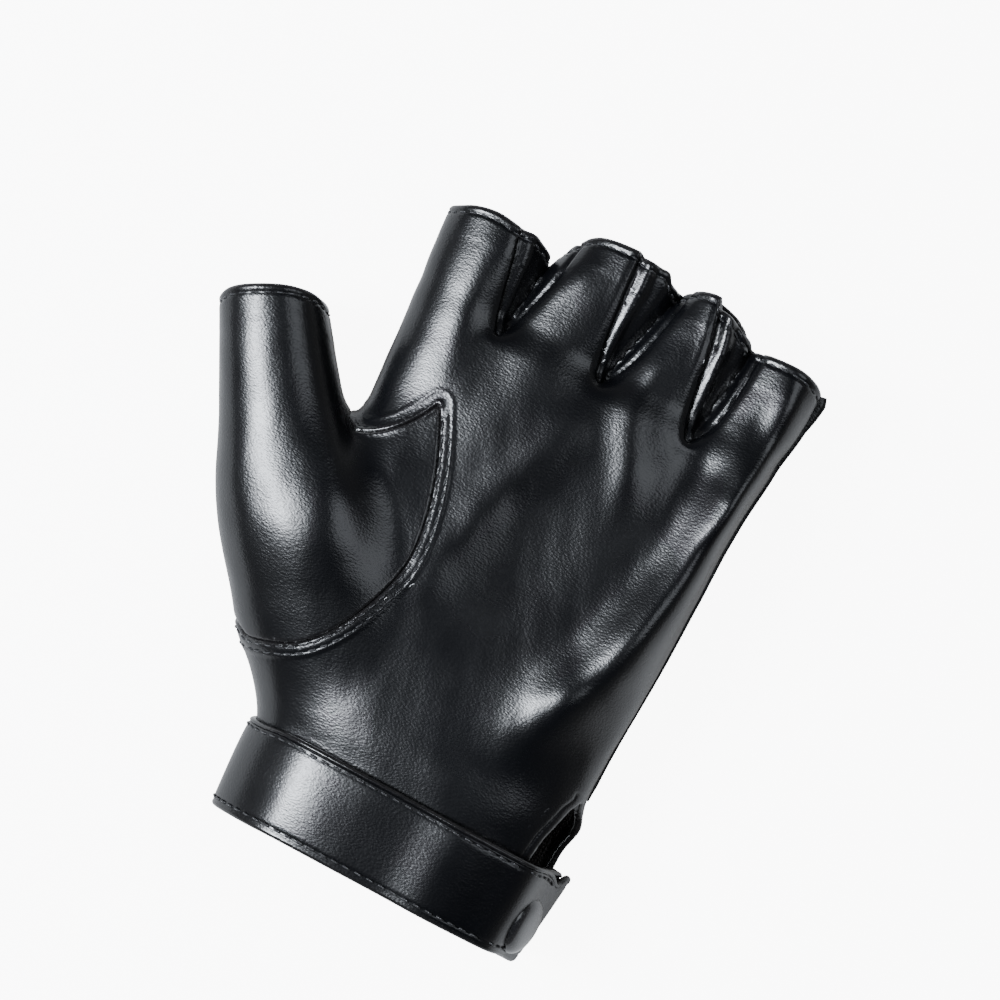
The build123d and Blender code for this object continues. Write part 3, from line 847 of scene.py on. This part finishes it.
def stitches(lines):
    """Short threads along lines, each diving into the leather at both ends."""
    points, faces = [], []
    turn = np.linspace(0, 2 * math.pi, STITCH_SIDES, endpoint=False)
    u = np.linspace(-1, 1, STITCH_RINGS)
    for at, p, n, gap in lines:
        for middle in np.arange(STITCH_PITCH / 2, at[-1] - STITCH_LENGTH / 2, STITCH_PITCH):
            where = middle + u * STITCH_LENGTH / 2
            if np.interp(where, at, gap.astype(float)).max() > 0:
                continue
            c = np.column_stack([np.interp(where, at, p[:, k]) for k in range(3)])
            up = np.column_stack([np.interp(where, at, n[:, k]) for k in range(3)])
            way = np.gradient(c, axis=0)
            way /= np.linalg.norm(way, axis=1)[:, None]
            side = np.cross(way, up)
            c = c + up * (0.16 - 0.55 * u**4)[:, None] + side * (0.1 * u)[:, None]
            r = STITCH_RADIUS * (1 - 0.3 * u**4)
            start = len(points)
            for k in range(STITCH_RINGS):
                ring_points = np.cos(turn)[:, None] * side[k] + np.sin(turn)[:, None] * up[k]
                points.extend(c[k] + r[k] * ring_points)
            for k in range(STITCH_RINGS - 1):
                for j in range(STITCH_SIDES):
                    a = start + k * STITCH_SIDES + j
                    b = start + k * STITCH_SIDES + (j + 1) % STITCH_SIDES
                    faces.append((a, b, b + STITCH_SIDES, a + STITCH_SIDES))
            last = start + (STITCH_RINGS - 1) * STITCH_SIDES
            faces.append(tuple(start + j for j in reversed(range(STITCH_SIDES))))
            faces.append(tuple(last + j for j in range(STITCH_SIDES)))
    return points, faces


def sew(name, lines, body, node):
    """One thread piece in place of the record's stitches."""
    points, faces = stitches(lines)
    piece = make(name, points, faces, body, (node,))
    piece.data.materials.append(THREAD_FINISH)
    return piece


owner = np.array([finger_field(name, rest) for name in HEMS]).argmin(0)
on_thumb = x < -57
for k, name in enumerate(HEMS):
    zone = (owner == k) & ~on_thumb & (y > 130)
    table = FINGER_TABLES[name]
    middle = (table[-1, 1] + table[-1, 2]) / 2
    line = level_line("hem", HEM_ROW, zone, np.arctan2(z, x - middle), closed=True)
    sew(f"{name}_hem_thread", [line], "glove", f"{name}_hem_stitch")
across = thumb_frame(rest)[1]
line = level_line("hem", HEM_ROW, on_thumb, np.arctan2(z - 7.0, across + 17.0), closed=True)
sew("thumb_hem_thread", [line], "glove", "thumb_hem_stitch")
place = line_distance(rest, THUMB_SEAM)[1]
front_side = (rest[:, 2] > 1.5) & (fields["crotch"] > 3.0) & (rest[:, 1] < 101)
for row, name in zip(SEAM_ROWS, ("inner", "outer")):
    line = level_line("thumb", -row, front_side, place)
    sew(f"thumb_seam_thread_{name}", [line], "glove", f"thumb_seam_stitch_{name}")

# The cuff and its tab: one strip of leather that starts at the tab's free end, crosses the palm side of
# the wrist, goes round the thumb side and the back, and ends flat under the tab.
STRIP = [
    (41.1, -7.5), (40.4, -4.5), (38.8, -0.4), (36.4, 5.0), (32.0, 14.2), (24.0, 17.9), (14.0, 20.1),
    (3.0, 19.6), (-10.0, 19.9), (-20.5, 19.0), (-27.5, 16.7), (-34.5, 11.4), (-38.6, 5.5), (-39.9, 0.0),
    (-38.6, -5.5), (-34.0, -11.6), (-26.0, -16.6), (-14.0, -19.4), (0.0, -20.0), (14.0, -19.3), (26.0, -16.0),
    (33.5, -11.0), (37.6, -6.4), (38.35, -3.9), (34.4, 4.3), (31.0, 11.5),
]
# Which of these points is the tab's fold: lengths along the strip are counted from it.
STRIP_FOLD = 4
STRIP_WIDTH, STRIP_THICK, STRIP_EDGE = 22.0, 1.5, 0.75
# The tab: where it starts to be fitted to its end, the end at its lower edge, the slant of that end to its
# upper edge, the radius of its corners, where its rows of stitches start, and where it joins the cuff.
TAB_FIT, TAB_END, TAB_SLANT, TAB_CORNER, TAB_ROW, TAB_JOIN = -8, -17.5, 6.1, 1.6, -13.5, 4.0
strip_points = curve(STRIP, 1500)
strip_run = np.concatenate([[0], np.cumsum(np.linalg.norm(np.diff(strip_points, axis=0), axis=1))])
strip_run -= strip_run[np.linalg.norm(strip_points - STRIP[STRIP_FOLD], axis=1).argmin()]
strip_start, strip_end = strip_run[0], strip_run[-1]
tangent = np.gradient(strip_points, strip_run, axis=0)
# Upper and lower edge of the strip along its length, with the ear at the tab's upper corner.
TOP_EDGE = [
    (-23.6, 21.6), (-21.0, 22.2), (-19.2, 21.6), (-17.2, 20.0), (-15.0, 20.2), (-11.5, 21.6), (-6, 22.3),
    (4, 22.3), (40, 22.7), (62, 22.4), (74, 21.0), (84, 20.8), (94, 21.8), (110, 22), (180, 22),
]
LOW_EDGE = [
    (-23.6, -0.6), (-17.0, -1.0), (-8.0, -0.3), (0.0, 0.0), (50.0, 0.2), (68.0, -0.5), (84.0, -1.2),
    (100.0, -0.6), (180.0, 0.0),
]
top_line, low_line = curve(TOP_EDGE, 400), curve(LOW_EDGE, 200)


def strip_at(s, share, lift):
    """Points on the strip and outward directions: s along it, share across it, lift off its outer face."""
    s, share, lift = np.broadcast_arrays(s, share, lift)
    end = TAB_END - TAB_SLANT * share
    s = np.where(s < TAB_FIT, TAB_FIT + (s - TAB_FIT) * (end - TAB_FIT) / (strip_start - TAB_FIT), s)
    c = np.stack([np.interp(s, strip_run, strip_points[:, k]) for k in (0, 1)], -1)
    t = np.stack([np.interp(s, strip_run, tangent[:, k]) for k in (0, 1)], -1)
    n = np.stack([t[..., 1], -t[..., 0]], -1) / np.linalg.norm(t, axis=-1)[..., None]
    high, low = np.interp(s, *top_line.T), np.interp(s, *low_line.T)
    corner = rounding(s - end, TAB_CORNER)
    low, high = low + corner, high - corner
    y = low + share * (high - low)
    flare = 1 + 0.03 * (y / STRIP_WIDTH - 0.5)
    c = c * flare[..., None] + n * lift[..., None]
    return np.stack([c[..., 0], y, c[..., 1]], -1), np.stack([n[..., 0], 0 * y, n[..., 1]], -1)


# Heights across the strip where its outer and inner faces have points.
OUTER_STEPS = [
    0, 0.1, 0.3, 0.55, 0.8, 1.1, 1.4, 1.7, 2.0, 2.3, 2.6, 3.2, 4.5, 6.5, 8.5, 11, 13.5, 15.5, 17.5, 18.8,
    19.4, 19.75, 20.1, 20.4, 20.65, 20.85, 21.05, 21.25, 21.5, 21.75, 21.9, 22,
]
INNER_STEPS = [21.9, 21.6, 21.2, 17, 11, 5, 0.8, 0.4, 0.1]


def strip_piece(name, start, end, body, nodes):
    """A stretch of the strip as closed, round-edged leather with its folded rims and sewn dips."""
    s = np.arange(start, end, 0.8)
    s = np.unique(np.concatenate([s, [start, start + 0.1, start + 0.35, end - 0.35, end - 0.1, end]]))
    outer, inner = np.array(OUTER_STEPS, float), np.array(INNER_STEPS, float)
    w = np.concatenate([outer, inner])
    edge = rounding(np.minimum(w, STRIP_WIDTH - w), STRIP_EDGE)
    lift = np.where(np.arange(len(w)) < len(outer), -edge, -STRIP_THICK + edge)
    relief = 0.3 * np.sin(math.pi * w / STRIP_WIDTH) ** 0.6
    relief = relief - 0.2 * bell(w - CUFF_ROWS[0], 0.35) - 0.17 * bell(w - CUFF_ROWS[1], 0.35)
    relief += -0.36 * bell(w - 20.85, 0.16) + 0.12 * bell(w - 21.4, 0.5) - 0.14 * bell(w - 1.15, 0.14)
    relief[len(outer) :] = 0
    relief[0] = relief[len(outer) - 1] = 0
    ss, ww = np.meshgrid(s, w, indexing="ij")
    swell = 0.2 * strip_waves(ss, ww) * np.sin(math.pi * ww / STRIP_WIDTH)
    rise = lift + relief + swell
    middle = -STRIP_THICK / 2
    free = rounding(ss - strip_start, STRIP_EDGE) + rounding(strip_end - ss, STRIP_EDGE)
    free = np.minimum(free, STRIP_EDGE * 0.85)
    rise = middle + (rise - middle) * (1 - free / STRIP_EDGE)
    points = strip_at(ss, ww / STRIP_WIDTH, rise)[0]
    m, k = len(s), len(w)
    grid = np.arange(m * k).reshape(m, k)
    nxt = np.roll(grid, -1, 1)
    quads = np.stack([grid[:-1], nxt[:-1], nxt[1:], grid[1:]], -1).reshape(-1, 4)
    faces = quads.tolist() + [grid[0][::-1].tolist(), grid[-1].tolist()]
    inside = np.tile(np.arange(k) >= len(outer), m - 1)
    piece = make(name, points.reshape(-1, 3), faces, body, nodes)
    paint(piece, np.concatenate([inside, [False, False]]))
    mark_wear(piece, np.tile(bell(np.minimum(w, STRIP_WIDTH - w), 0.7), m))
    return piece


k_s, k_w, phase = rng.normal(size=10) / 7.0, rng.normal(size=10) / 9.0, rng.uniform(0, 6.28, 10)


def strip_waves(s, w):
    """Slow seeded unevenness along the strip."""
    return sum(np.sin(a * s + b * w + c) for a, b, c in zip(k_s, k_w, phase)) / math.sqrt(len(phase))


def bend_with_tab(piece):
    """Bakes the piece's placement into its points; the points either side of the tab's fold are found but not
    used, so the tab is not turned.
    """
    start, end = strip_at(3.5, 0.5, -1.3)[0], strip_at(-3.5, 0.5, -1.3)[0]
    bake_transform(piece)


def strip_row(start, end, w):
    """A line along the strip for stitches, w from its lower edge."""
    at = np.arange(start, end, 0.5)
    p, n = strip_at(at, w / STRIP_WIDTH, 0.12)
    return at - start, p, n, np.zeros(len(at), bool)


strip_piece("cuff_skin", TAB_JOIN, strip_end, "glove", ("cuff_band", "cuff_facing"))
tab = strip_piece("tab_skin", strip_start, TAB_JOIN, None, ("strap_tab", "strap_facing"))
bend_with_tab(tab)
ROW_END = strip_end - 20
sew("cuff_top_thread", [strip_row(TAB_JOIN, ROW_END, CUFF_ROWS[1])], "glove", "cuff_top_stitch")
sew("cuff_bottom_thread", [strip_row(TAB_JOIN, ROW_END, CUFF_ROWS[0])], "glove", "cuff_bottom_stitch")
tab_rows = [strip_row(TAB_ROW, TAB_JOIN, row) for row in CUFF_ROWS]
bend_with_tab(sew("tab_thread", tab_rows, None, "strap_stitch"))

# The welt of the seam along the little-finger side.
tree = BVHTree.FromPolygons(skin.tolist(), tri.tolist())
WELT = [
    (-0.95, -0.7), (-0.9, 0.5), (-0.62, 1.0), (-0.3, 1.05), (-0.06, 0.72), (0.06, 0.6), (0.3, 0.95),
    (0.6, 0.9), (0.85, 0.4), (0.9, -0.7),
]
heights = np.arange(39.5, 146.0, 0.8)
lean = np.interp(heights, [39, 60, 110, 146], [-0.5, -1.5, -1.0, 0.0])
hits = []
for height, level in zip(heights, lean):
    place, facing, _, _ = tree.ray_cast(Vector((60, height, level)), Vector((-1, 0, 0)))
    if place is not None:
        hits.append(place)
# Only the line is needed here, so its points stand in for directions.
at, p, _, _ = smooth_line(np.array(hits), np.array(hits), False)
for _ in range(6):
    p[1:-1] = (p[:-2] + 2 * p[1:-1] + p[2:]) / 4
way = np.gradient(p, axis=0)
way /= np.linalg.norm(way, axis=1)[:, None]
up = np.cross(way, [0, 0, 1.0])
up /= np.linalg.norm(up, axis=1)[:, None]
side = np.cross(up, way)
grow = np.interp(at, [0, 4, at[-1] - 9, at[-1] - 2, at[-1]], [0.4, 0.8, 0.9, 1.9, 1.5])
shape = np.array(WELT)
raised = shape[None, :, 1:] * grow[:, None, None]
points = p[:, None] + side[:, None] * shape[None, :, :1] + up[:, None] * raised
m, k = points.shape[:2]
grid = np.arange(m * k).reshape(m, k)
faces = np.stack([grid[:-1, :-1], grid[:-1, 1:], grid[1:, 1:], grid[1:, :-1]], -1).reshape(-1, 4).tolist()
faces += np.stack([grid[:-1, -1], grid[:-1, 0], grid[1:, 0], grid[1:, -1]], -1).tolist()
faces += [grid[0].tolist(), grid[-1][::-1].tolist()]
welt = make("side_seam_welt", points.reshape(-1, 3), faces, "glove", ("side_seam",))
welt.data.materials.append(LEATHER_FINISH)

# The snap: its enamelled cap is turned from a rounded profile; the parts behind it keep their CAD shape.
CAP_PROFILE = [
    (0, 2.2), (1.5, 2.18), (3.0, 2.1), (4.2, 1.96), (5.0, 1.78), (5.7, 1.5), (6.3, 1.12), (6.7, 0.72),
    (6.95, 0.35), (7.0, 0.1), (6.8, -0.05), (0, -0.05),
]
SNAP_AT = -10.5
SNAP_HEIGHT = 8.1
foot, lean_out = strip_at(SNAP_AT, SNAP_HEIGHT / STRIP_WIDTH, 0.0)
snap_low, snap_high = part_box("snap_cap")
foot[1] = 1000 * (snap_low.y + snap_high.y) / 2
lean_out /= np.linalg.norm(lean_out)
along_wrist = np.array([0, 1.0, 0])
cross = np.cross(along_wrist, lean_out)
turn = np.linspace(0, 2 * math.pi, 72, endpoint=False)
points, faces = [foot + lean_out * CAP_PROFILE[0][1]], []
for r, h in CAP_PROFILE[1:-1]:
    points.extend(foot + lean_out * h + r * (math.cos(a) * cross + math.sin(a) * along_wrist) for a in turn)
points.append(foot + lean_out * CAP_PROFILE[-1][1])
count = len(turn)
for j in range(count):
    k = (j + 1) % count
    faces.append((0, 1 + j, 1 + k))
    for i in range(len(CAP_PROFILE) - 3):
        a = 1 + i * count
        faces.append((a + j, a + count + j, a + count + k, a + k))
    faces.append((len(points) - 1, len(points) - 1 - count + k, len(points) - 1 - count + j))
cap = make("snap_cap_dome", points, faces, "wrist_tab", ("snap_cap",))
cap.data.materials.append(ENAMEL_FINISH)
for name in ("snap_socket", "snap_stud", "snap_eyelet"):
    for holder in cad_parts[name].material_slots:
        holder.material = METAL_FINISH

# Floor, world and lights.
floor_mesh = bpy.data.meshes.new("floor")
reach, level = 3.0, cad_low.z - 0.0005
corners = [(-reach, -reach, level), (reach, -reach, level), (reach, reach, level), (-reach, reach, level)]
floor_mesh.from_pydata(corners, [], [(0, 1, 2, 3)])
floor = bpy.data.objects.new("floor", floor_mesh)
bpy.context.scene.collection.objects.link(floor)
paper = Nodes("white_paper")
paper.bump(paper.noise(paper.place, 400.0), 0.00002)
seen = paper.tree.nodes.new("ShaderNodeLightPath").outputs["Is Camera Ray"]
glow = paper.span(seen, FLOOR_REFLECTED, FLOOR_GLOW, 0.0, 1.0)
white, grey = (1, 1, 1, 1), (0.3, 0.3, 0.3, 1)
paper.finish(Base_Color=grey, Roughness=0.8, Emission_Color=white, Emission_Strength=glow)
floor_mesh.materials.append(paper.material)

world = bpy.data.worlds.new("studio")
world.use_nodes = True
bpy.context.scene.world = world
sky = world.node_tree
way_up = sky.nodes.new("ShaderNodeTexCoord")
axes = sky.nodes.new("ShaderNodeSeparateXYZ")
sky.links.new(way_up.outputs["Generated"], axes.inputs[0])
ramp = sky.nodes.new("ShaderNodeMapRange")
for key, value in (("From Min", 0.0), ("From Max", 0.75), ("To Min", SKY_LOW), ("To Max", SKY_HIGH)):
    ramp.inputs[key].default_value = value
sky.links.new(axes.outputs["Z"], ramp.inputs["Value"])
sky.links.new(ramp.outputs["Result"], sky.nodes["Background"].inputs["Strength"])
sky.nodes["Background"].inputs["Color"].default_value = (1.0, 1.0, 1.0, 1)


def softbox(name, place, aim, size, power, tint):
    """Soft rectangular light, in metres, pointing at a place on the glove."""
    light = bpy.data.lights.new(name, "AREA")
    light.shape = "RECTANGLE"
    light.size, light.size_y = size
    light.energy = power
    light.color = tint
    holder = bpy.data.objects.new(name, light)
    holder.location = place
    holder.rotation_euler = (Vector(aim) - Vector(place)).to_track_quat("-Z", "Y").to_euler()
    bpy.context.scene.collection.objects.link(holder)


for args in LIGHTS:
    softbox(*args)

camera = bpy.data.cameras.new("camera")
camera.sensor_width = SENSOR
camera.lens = SENSOR * EYE[2] / VIEW_WIDTH
eye = bpy.data.objects.new("camera", camera)
eye.location = EYE
eye.rotation_euler = (0, 0, ROLL)
bpy.context.scene.collection.objects.link(eye)
bpy.context.scene.camera = eye

bpy.context.view_layer.update()
